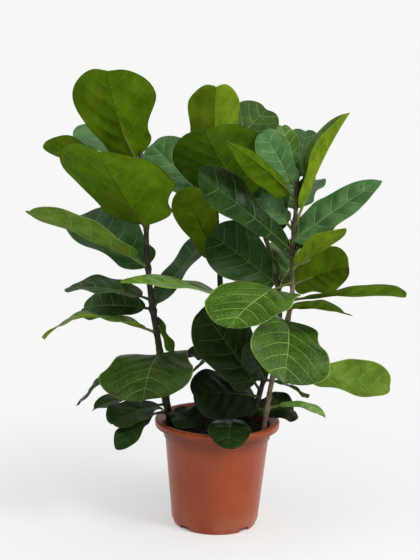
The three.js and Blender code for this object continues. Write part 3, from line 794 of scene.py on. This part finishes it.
# -------------------------------------------------------------------- bud scales
# Each leaf unfolded out of a papery bud scale. At the youngest joints these are still
# there, dry and brown. Each is grown on to the stem at its foot, half wraps it opposite
# the leaf's stalk, and ends in a point.

SCALE_CELLS = 8
SCALE_LENGTH = 21.0
SCALE_WRAP = 1.1
SCALE_NARROWING = 0.93
SCALE_FLARE = 2.4
SCALE_CURL = 0.25
SCALE_SHRINK = 0.25
SCALE_THICKNESS = 0.4
SCALE_GAP = 0.3
SCALED_LENGTH = 150.0

# one scale, made for a stem with a radius of 1 mm
bpy.ops.mesh.primitive_grid_add(x_subdivisions=SCALE_CELLS, y_subdivisions=SCALE_CELLS, size=2)
first = bpy.context.object
for vertex in first.data.vertices:
    up = (vertex.co.y + 1) / 2
    angle = vertex.co.x * SCALE_WRAP * (1 - SCALE_NARROWING * up**1.6)
    reach = 1 + SCALE_FLARE * up**2.4
    vertex.co = (reach * math.cos(angle), reach * math.sin(angle), SCALE_LENGTH * up)

for which, (line, width, bud_foot) in grown.items():
    young = [leaf for leaf in LEAVES[which] if leaf["at"] > bud_foot - SCALED_LENGTH]
    young.sort(key=lambda leaf: leaf["at"])
    scales = []
    for number, leaf in enumerate(young):
        place = Vector(on_line(line, leaf["at"]))
        radius = np.interp(leaf["at"], line[:, 2], width) + SCALE_GAP
        scale = first.copy()
        scale.data = first.data.copy()
        bpy.context.collection.objects.link(scale)
        for vertex in scale.data.vertices:
            angle = math.atan2(vertex.co.y, vertex.co.x)
            reach = math.hypot(vertex.co.x, vertex.co.y) - 1 + radius
            reach *= 1 + SCALE_CURL * math.sin(number * 2.1) * vertex.co.z / SCALE_LENGTH
            vertex.co = (reach * math.cos(angle), reach * math.sin(angle), vertex.co.z)
        size = 1 - SCALE_SHRINK + SCALE_SHRINK * math.sin(number * 1.7 + 1)
        shrink = Matrix.Scale(size, 4, (0, 0, 1))
        stalk = Vector(leaf["tip"]) - place
        turn = Matrix.Rotation(math.atan2(-stalk.y, -stalk.x), 4, "Z")
        scale.data.transform(Matrix.Scale(MM, 4) @ Matrix.Translation(place) @ turn @ shrink)
        apply_modifier(scale, "SOLIDIFY", thickness=SCALE_THICKNESS * MM, offset=1)
        scales.append(scale)
    select_only(scales[0])
    for scale in scales:
        scale.select_set(True)
    bpy.ops.object.join()
    piece = bpy.context.object
    piece.name = "bud_scales_" + which
    shade_smooth(50)
    piece.data.materials.append(barks["sheath_skin"])
    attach(piece, "root")
bpy.data.objects.remove(first)

# ------------------------------------------------------------------------ leaves
# Each leaf is a leathery blade on a short round stalk. The upper side is dark and waxy,
# and the underside paler and matt. A strong midrib and a few pairs of curved side veins
# stand out below and are sunk above, and the blade bulges between them.

# What a leaf has where its row doesn't say otherwise.
LEAF_DEFAULTS = {
    "arch": 6, "bow": 0, "curl": 0, "fold": 8, "wave": 3, "waist": 0.62, "widest": 0.66,
    "taper": 0.5, "lobes": 0, "notch": 4, "stalk": 30,
}
# How strong the bulges are of blades that press against a neighbour and so lie flatter.
PRESSED = {
    "left_03": 0.1, "left_04": 0.1, "left_05": 0.3, "left_06": 0.2, "left_10": 0.3,
    "left_13": 0.4, "left_14": 0.4, "left_15": 0.1, "left_16": 0.1, "left_19": 0.1,
    "middle_01": 0.2, "middle_02": 0.2, "right_03": 0.2, "right_04": 0.2, "right_05": 0.4,
}

BLADE_THICKNESS = 0.9
ROWS = 84
COLUMNS = 40
MIDRIB_CROWDING = 1.45
NECK_HALF_WIDTH = 2.6
BASE_ROUNDING = 0.14
WAIST_SHARE = 0.16
LOBE_SHARE = 0.1
WAIST_END = 0.36
BASE_LOBE = 9
NOTCH_SHARE = 0.15
FOLD_ROUNDING = 0.004
WAVES = 2.2
WAVE_SHIFT_BY_LEAF = 1.7
WAVE_SHIFT_BY_SIDE = 1.3
VEIN_PAIRS = 5.0
VEIN_SLANT = 0.55
VEIN_CURVE = 0.9
QUILT_HEIGHT = 2.4
QUILTED_LENGTH = 150
UNEVEN_HEIGHT = 2.4
UNEVEN_SPREAD = 34
GROOVE_DEPTH = 0.9
GROOVE_HALF_WIDTH = 2.2
KEEL_DEPTH = 1.7
KEEL_HALF_WIDTH = 1.9


def smoothstep(value, low, high):
    """0 up to low, 1 from high on, and smooth between them."""
    share = np.clip((value - low) / (high - low), 0, 1)
    return share * share * (3 - 2 * share)


def half_outline(u, waist, widest, taper, lobes):
    """Half width of a blade at share u of its length, as a share of the greatest."""
    base = np.sqrt(1 - (1 - np.minimum(1, u / BASE_ROUNDING)) ** 2)
    upper = waist + (1 - waist) * smoothstep(u, WAIST_SHARE, widest)
    body = upper + lobes * (1 - smoothstep(u, LOBE_SHARE, WAIST_END))
    end = np.maximum(0, 1 - ((u - widest) / (1 - widest)) ** 2) ** taper
    return base * body * np.where(u < widest, 1, end)


def unit(vectors):
    """The vectors at a length of 1."""
    return vectors / np.linalg.norm(vectors, axis=-1, keepdims=True)


def on_leaf(leaf, root, share, sideways, upwards, onwards):
    """Points on a leaf: at a share of the way to its tip, and so far across, above and on."""
    tip = np.array(leaf["tip"], float)
    length = np.linalg.norm(tip - root)
    along = (tip - root) / length
    face = np.array(leaf["face"], float)
    up = unit(face - along * (face @ along))
    side = np.cross(along, up)
    bend = (root + tip) / 2 + up * 2 * leaf["arch"] + side * 2 * leaf["bow"]
    t = np.asarray(share, float)[:, None]
    centre = (1 - t) ** 2 * root + 2 * (1 - t) * t * bend + t**2 * tip
    centre = centre + up * leaf["curl"] * (t - t**4)
    slope = unit((1 - t) * (bend - root) + t * (tip - bend))
    tangent = unit(slope + up * leaf["curl"] * (1 - 4 * t**3) / length)
    normal = unit(up - tangent * (tangent @ up)[:, None])
    across = np.cross(tangent, normal)
    offsets = [np.broadcast_to(far, len(t))[:, None] for far in (sideways, upwards, onwards)]
    return centre + across * offsets[0] + normal * offsets[1] + tangent * offsets[2]


def vein_count(x, y):
    """How many side veins come before a place on the blade: a whole number on a vein."""
    return VEIN_PAIRS * (x - VEIN_SLANT * y - VEIN_CURVE * y * y)


def add_blade(name, leaf, root, order, bulging):
    """The blade: a grid laid over the leaf's form, with a second skin below it."""
    length = np.linalg.norm(np.array(leaf["tip"]) - root)
    blade_length = length - leaf["stalk"]
    bpy.ops.mesh.primitive_grid_add(x_subdivisions=COLUMNS, y_subdivisions=ROWS, size=2)
    blade = bpy.context.object
    blade.name = name
    flat = np.array([vertex.co for vertex in blade.data.vertices])
    # u runs from base to tip, and v from one margin over the midrib to the other
    u = (1 - np.cos(math.pi * (flat[:, 1] + 1) / 2)) / 2
    v = np.sign(flat[:, 0]) * np.abs(flat[:, 0]) ** MIDRIB_CROWDING
    share = (leaf["stalk"] + blade_length * u) / length
    outline = half_outline(u, leaf["waist"], leaf["widest"], leaf["taper"], leaf["lobes"])
    half = np.maximum(NECK_HALF_WIDTH, leaf["wide"] / 2 * outline)
    across = v * half
    lean = math.radians(leaf["fold"])
    sideways = across * math.cos(lean)

    # the base lobes reach back past the stalk, and the tip is notched
    shoulder = 1 - np.exp(-((across / (NOTCH_SHARE * leaf["wide"])) ** 2))
    reach = leaf["notch"] * u**6 * shoulder - BASE_LOBE * v**2 * (1 - u) ** 6
    x = u + reach / blade_length
    y = across / blade_length

    # how far the blade stands up: its fold, its margin's waves, and its bulges
    folded = np.sqrt(v**2 + FOLD_ROUNDING) * half * math.sin(lean)
    phase = order * WAVE_SHIFT_BY_LEAF + np.where(v < 0, WAVE_SHIFT_BY_SIDE, 0)
    ripple = leaf["wave"] * v**2 * np.sin(2 * math.pi * WAVES * u + phase)
    between = 0.5 - 0.5 * np.cos(2 * math.pi * vein_count(x, np.abs(y)))
    bulge = QUILT_HEIGHT * blade_length / QUILTED_LENGTH * between
    bulge = bulge * np.sin(math.pi * np.abs(v) ** 0.75) * np.sin(math.pi * u) ** 0.6
    places = on_leaf(leaf, root, share, sideways, 0, reach)
    uneven = np.array([noise.noise(Vector(place) / UNEVEN_SPREAD) for place in places])
    uneven = uneven * UNEVEN_HEIGHT * np.minimum(1, 4 * np.abs(v))
    lift = folded + ripple + (bulge + uneven) * bulging
    groove = GROOVE_DEPTH * (1 - u) * np.exp(-((across / GROOVE_HALF_WIDTH) ** 2))
    keel = KEEL_DEPTH * (1 - u) * np.exp(-((across / KEEL_HALF_WIDTH) ** 2))
    thick = BLADE_THICKNESS / 2
    above = on_leaf(leaf, root, share, sideways, lift - groove + thick, reach)
    below = on_leaf(leaf, root, share, sideways, lift - keel - thick, reach)

    # the blade's own map, in blade lengths, and how near a place is to the margin
    uv_map = blade.data.uv_layers.new(name="blade")
    corner = np.array([loop.vertex_index for loop in blade.data.loops])
    spots = np.stack([x, y + 0.5], 1)[corner].astype(np.float32)
    uv_map.uv.foreach_set("vector", spots.ravel())
    margin = blade.data.attributes.new("margin", "FLOAT", "POINT")
    margin.data.foreach_set("value", np.maximum(np.abs(v), u**24).astype(np.float32))
    for finish in finishes[leaf["tone"]]:
        blade.data.materials.append(finish)
    blade.data.vertices.foreach_set("co", (above * MM).ravel())
    skin = {"offset": -1, "material_offset": 1, "material_offset_rim": 1}
    apply_modifier(blade, "SOLIDIFY", thickness=BLADE_THICKNESS * MM, **skin)
    blade.data.vertices.foreach_set("co", (np.concatenate([above, below]) * MM).ravel())
    blade.data.update()
    return blade


STALK_RADIUS = 2.5
STALK_POINTS = 16
STALK_FROM = 3
STALK_RUNS_ON = 0.3
STALK_THINNING = 0.62
STALK_SUNK = 0.75
FOOT_SWELLING = 0.3
FOOT_START = 6
FOOT_LENGTH = 5


def add_stalk(leaf, root):
    """The round stalk, which runs on into the midrib under the blade."""
    length = np.linalg.norm(np.array(leaf["tip"]) - root)
    neck = leaf["stalk"] / length
    shares = np.linspace(STALK_FROM / length, neck + STALK_RUNS_ON * (1 - neck), STALK_POINTS)
    # it dips below the blade where that begins
    under = smoothstep(shares, 0.8 * neck, neck + 0.12 * (1 - neck))
    swelling = FOOT_SWELLING * np.exp(-(shares * length - FOOT_START) / FOOT_LENGTH)
    thinning = STALK_THINNING * smoothstep(shares, neck, shares[-1])
    radii = STALK_RADIUS * (1 + swelling - thinning)
    places = on_leaf(leaf, root, shares, 0, -STALK_SUNK * radii * under, 0)
    curve = bpy.data.curves.new("stalk", "CURVE")
    curve.dimensions = "3D"
    curve.bevel_depth = MM
    curve.bevel_resolution = 3
    curve.use_fill_caps = True
    line = curve.splines.new("POLY")
    line.points.add(len(shares) - 1)
    for point, place, radius in zip(line.points, places, radii):
        point.co = (*(place * MM), 1)
        point.radius = radius
    stalk = bpy.data.objects.new("stalk", curve)
    bpy.context.collection.objects.link(stalk)
    select_only(stalk)
    bpy.ops.object.convert(target="MESH")
    return bpy.context.object


# One side of a leaf: blotched between two colours, under a net, side veins and a midrib
# that are found by the blade's own map, with a rim in the midrib's colour. The leaf's own
# tone with its painted light and shade, and a mottle, darken or lighten it all.
SIDE_COLOURS = ("Deep", "Light", "Veins", "Midrib")
SIDE_NUMBERS = ("Vein width", "Midrib shows", "Side veins show", "Net shows")

inputs = {**dict.fromkeys(SIDE_COLOURS, "Color"), **dict.fromkeys(SIDE_NUMBERS, "Float")}
leaf_skin, given, results = new_group(
    "leaf_skin",
    {"Place": "Vector", **inputs},
    {"Colour": "Color", "Blotches": "Float", "Vein height": "Float"},
)


def multiply(one, other):
    """One mask of the leaf's skin times another, or times a number."""
    return maths(leaf_skin, "MULTIPLY", one, other)


place = add_node(leaf_skin, "ShaderNodeUVMap", uv_map="blade").outputs[0]
parts = add_node(leaf_skin, "ShaderNodeSeparateXYZ", {0: place}).outputs
x = parts["X"]
y = maths(leaf_skin, "ABSOLUTE", maths(leaf_skin, "SUBTRACT", parts["Y"], 0.5))
thick = multiply(given["Vein width"], maths(leaf_skin, "SUBTRACT", 1.15, x))
midrib = ramp(leaf_skin, y, thick, multiply(thick, 0.35))

# the side veins, counted as vein_count does
behind = maths(leaf_skin, "ADD", multiply(y, VEIN_SLANT), multiply(multiply(y, y), VEIN_CURVE))
count = multiply(maths(leaf_skin, "SUBTRACT", x, behind), VEIN_PAIRS)
past = maths(leaf_skin, "FRACT", maths(leaf_skin, "ADD", count, 10.5))
off = maths(leaf_skin, "ABSOLUTE", maths(leaf_skin, "SUBTRACT", past, 0.5))
thin = multiply(given["Vein width"], maths(leaf_skin, "SUBTRACT", 0.75, y))
veins = ramp(leaf_skin, maths(leaf_skin, "DIVIDE", off, VEIN_PAIRS), thin, multiply(thin, 0.3))
margin = add_node(leaf_skin, "ShaderNodeAttribute", attribute_name="margin").outputs["Fac"]
veins = multiply(veins, ramp(leaf_skin, margin, 0.95, 0.6, 0.25, 1.0))

nets = []
for scale, strength in ((17.0, 0.6), (43.0, 0.4)):
    cells = add_node(
        leaf_skin,
        "ShaderNodeTexVoronoi",
        {"Vector": place, "Scale": scale},
        feature="DISTANCE_TO_EDGE",
        voronoi_dimensions="2D",
    )
    nets.append(multiply(ramp(leaf_skin, cells.outputs[0], 0.09, 0.01), strength))
net = maths(leaf_skin, "ADD", *nets)

cloud = soft_noise(leaf_skin, given["Place"], 24.0, 3.0)
colour = blend_colours(leaf_skin, ramp(leaf_skin, cloud, 0.32, 0.7), given["Deep"], given["Light"])
for mask, shows, tint in (
    (net, "Net shows", "Veins"),
    (veins, "Side veins show", "Veins"),
    (midrib, "Midrib shows", "Midrib"),
):
    colour = blend_colours(leaf_skin, multiply(mask, given[shows]), colour, given[tint])
rim = ramp(leaf_skin, margin, 0.965, 0.99, 0.0, 0.7)
colour = blend_colours(leaf_skin, rim, colour, given["Midrib"])
tone_and_painted_light = add_node(leaf_skin, "ShaderNodeAttribute", attribute_name="tone_and_painted_light").outputs["Fac"]
mottle = ramp(leaf_skin, soft_noise(leaf_skin, given["Place"], 75.0, 4.0), 0.32, 0.68, 0.90, 1.10)
inputs = {"Color": colour, "Value": multiply(tone_and_painted_light, mottle)}
tinted = add_node(leaf_skin, "ShaderNodeHueSaturation", inputs).outputs[0]
raised = maths(leaf_skin, "ADD", midrib, multiply(veins, 0.7))
raised = maths(leaf_skin, "ADD", raised, multiply(net, 0.22))
set_inputs(leaf_skin, results, {"Colour": tinted, "Blotches": cloud, "Vein height": raised})

# Deep and light colour of each side, and the colours of its side veins and its midrib.
UPPER_COLOURS = {
    "dark": ((0.012, 0.040, 0.004), (0.026, 0.072, 0.008), (0.13, 0.23, 0.06), (0.13, 0.23, 0.06)),
    "blue": ((0.022, 0.070, 0.016), (0.050, 0.125, 0.034), (0.14, 0.25, 0.09), (0.14, 0.25, 0.09)),
    "mid": ((0.024, 0.080, 0.003), (0.055, 0.135, 0.008), (0.40, 0.56, 0.14), (0.40, 0.56, 0.14)),
    "young": ((0.075, 0.180, 0.003), (0.130, 0.270, 0.008), (0.42, 0.56, 0.12), (0.42, 0.56, 0.12)),
}
# On the undersides of the dark and mid tones the midrib's colour, which the blade's rim takes too,
# is painted shade, as dark as the shaded raised rib.
UNDER_COLOURS = {
    "dark": ((0.036, 0.078, 0.002), (0.06, 0.12, 0.003), (0.10, 0.17, 0.03), (0.025, 0.040, 0.004)),
    "blue": ((0.050, 0.088, 0.008), (0.082, 0.130, 0.014), (0.11, 0.19, 0.04), (0.12, 0.18, 0.05)),
    "mid": ((0.066, 0.13, 0.001), (0.105, 0.190, 0.003), (0.14, 0.24, 0.03), (0.035, 0.045, 0.003)),
    "young": ((0.118, 0.202, 0.005), (0.215, 0.320, 0.014), (0.26, 0.40, 0.05), (0.22, 0.33, 0.04)),
}
# width of the veins, and how clearly midrib, side veins and net show
UPPER_VEINS = (0.011, 0.95, 0.8, 0.32)
UNDER_VEINS = (0.010, 0.8, 0.8, 0.34)
UPPER_SHINE = {"dark": 0.10, "blue": 0.25, "mid": 0.22, "young": 0.25}
UNDER_SHINE = 0.03
WAX_ROUGHNESS = 0.30
MATT_ROUGHNESS = 0.7
SUNK, RAISED = -1.0, 1.0


def leaf_side(name, colours, veins, roughness, shine, way):
    """The finish of one side of a leaf, whose veins are sunk or raised."""
    material, tree, shader = new_material(name)
    inputs = {"Place": own_place(tree)}
    inputs.update(zip(SIDE_COLOURS + SIDE_NUMBERS, colours + veins))
    skin = add_node(tree, "ShaderNodeGroup", inputs, node_tree=leaf_skin).outputs
    height = maths(tree, "MULTIPLY", skin["Vein height"], way)
    set_inputs(tree, shader, {
        "Base Color": skin["Colour"],
        "Roughness": ramp(tree, skin["Blotches"], 0.3, 0.7, roughness, roughness + 0.12),
        "Specular IOR Level": shine,
        "Normal": relief(tree, height, 0.55, 0.0012),
    })
    return material


finishes = {}
for tone, shine in UPPER_SHINE.items():
    upper, under = UPPER_COLOURS[tone], UNDER_COLOURS[tone]
    finishes[tone] = (
        leaf_side("leaf_upper_" + tone, upper, UPPER_VEINS, WAX_ROUGHNESS, shine, SUNK),
        leaf_side("leaf_under_" + tone, under, UNDER_VEINS, MATT_ROUGHNESS, UNDER_SHINE, RAISED),
    )

# The mid stalks, which run on into the midrib under the blade, are painted darker as painted shade
# of that shaded rib.
STALK_COLOURS = {
    "dark": ((0.035, 0.055, 0.010), (0.085, 0.120, 0.028)),
    "blue": ((0.075, 0.130, 0.028), (0.190, 0.260, 0.075)),
    "mid": ((0.050, 0.075, 0.008), (0.120, 0.165, 0.030)),
    "young": ((0.095, 0.150, 0.020), (0.230, 0.310, 0.070)),
}
stalk_streaks, given, results = new_group(
    "stalk_streaks",
    {"Place": "Vector", "Deep": "Color", "Light": "Color"},
    {"Colour": "Color"},
)
streak = soft_noise(stalk_streaks, given["Place"], 160.0, 3.0)
colour = blend_colours(stalk_streaks, streak, given["Deep"], given["Light"])
set_inputs(stalk_streaks, results, {"Colour": colour})

stalk_skins = {}
for tone, (deep, light) in STALK_COLOURS.items():
    stalk_skins[tone], tree, shader = new_material("stalk_skin_" + tone)
    inputs = {"Place": own_place(tree), "Deep": deep, "Light": light}
    streaked = add_node(tree, "ShaderNodeGroup", inputs, node_tree=stalk_streaks).outputs
    skin = {"Base Color": streaked["Colour"], "Roughness": 0.6, "Specular IOR Level": 0.2}
    set_inputs(tree, shader, skin)

# Painted shade and painted light: leaves in the shade of the others are painted darker
# than their tone, and those that the light strikes through are painted paler.
PAINTED_LIGHT_BY_LEAF = {
    "left_02": 1.15, "left_04": 1.5, "left_05": 1.7, "left_07": 1.3, "left_11": 0.46,
    "left_13": 0.8, "left_14": 0.6, "left_15": 0.6, "left_16": 0.3, "left_17": 0.7,
    "middle_01": 0.95, "middle_02": 0.68, "middle_03": 1.75, "middle_04": 0.85,
    "middle_06": 0.5, "middle_07": 0.8, "inner_01": 1.35, "inner_03": 0.75, "inner_04": 0.5,
    "inner_05": 0.4, "inner_07": 0.22, "inner_09": 0.4, "right_01": 0.5, "right_02": 0.66,
    "right_03": 1.9, "right_06": 1.6, "right_08": 0.95, "right_09": 0.6, "right_10": 1.1,
    "right_12": 0.85, "right_13": 2.4, "right_15": 0.65, "right_16": 1.4, "right_17": 1.7,
}
SHADE_SPREAD = (0.92, 1.1)
# The painted light and shade is that of the side to the front: the underside, where the
# upper side looks further back than this. The other side is nearer to its tone.
FACES_BACK = 0.1
OTHER_SIDE = 0.3

draw = random.Random(11)
for which, rows in LEAVES.items():
    line = grown[which][0]
    for order, row in enumerate(rows):
        name = f"{which}_{order + 1:02d}"
        leaf = {**LEAF_DEFAULTS, **row}
        root = np.array(on_line(line, leaf["at"]))
        blade = add_blade("fig_leaf_" + name, leaf, root, order, PRESSED.get(name, 1))
        # the leaf's painted light and shade, times a random spread of its tone
        front = PAINTED_LIGHT_BY_LEAF.get(name, 1) * draw.uniform(*SHADE_SPREAD)
        back = 1 + OTHER_SIDE * (front - 1)
        sides = [back, front] if leaf["face"][1] > FACES_BACK else [front, back]
        tone_and_painted_light = blade.data.attributes.new("tone_and_painted_light", "FLOAT", "POINT")
        tone_and_painted_light.data.foreach_set("value", np.repeat(sides, len(blade.data.vertices) // 2))
        stalk = add_stalk(leaf, root)
        stalk.data.materials.append(stalk_skins[leaf["tone"]])
        select_only(blade)
        stalk.select_set(True)
        bpy.ops.object.join()
        shade_smooth(55)
        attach(blade, "root")
        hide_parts("leaf_" + name)
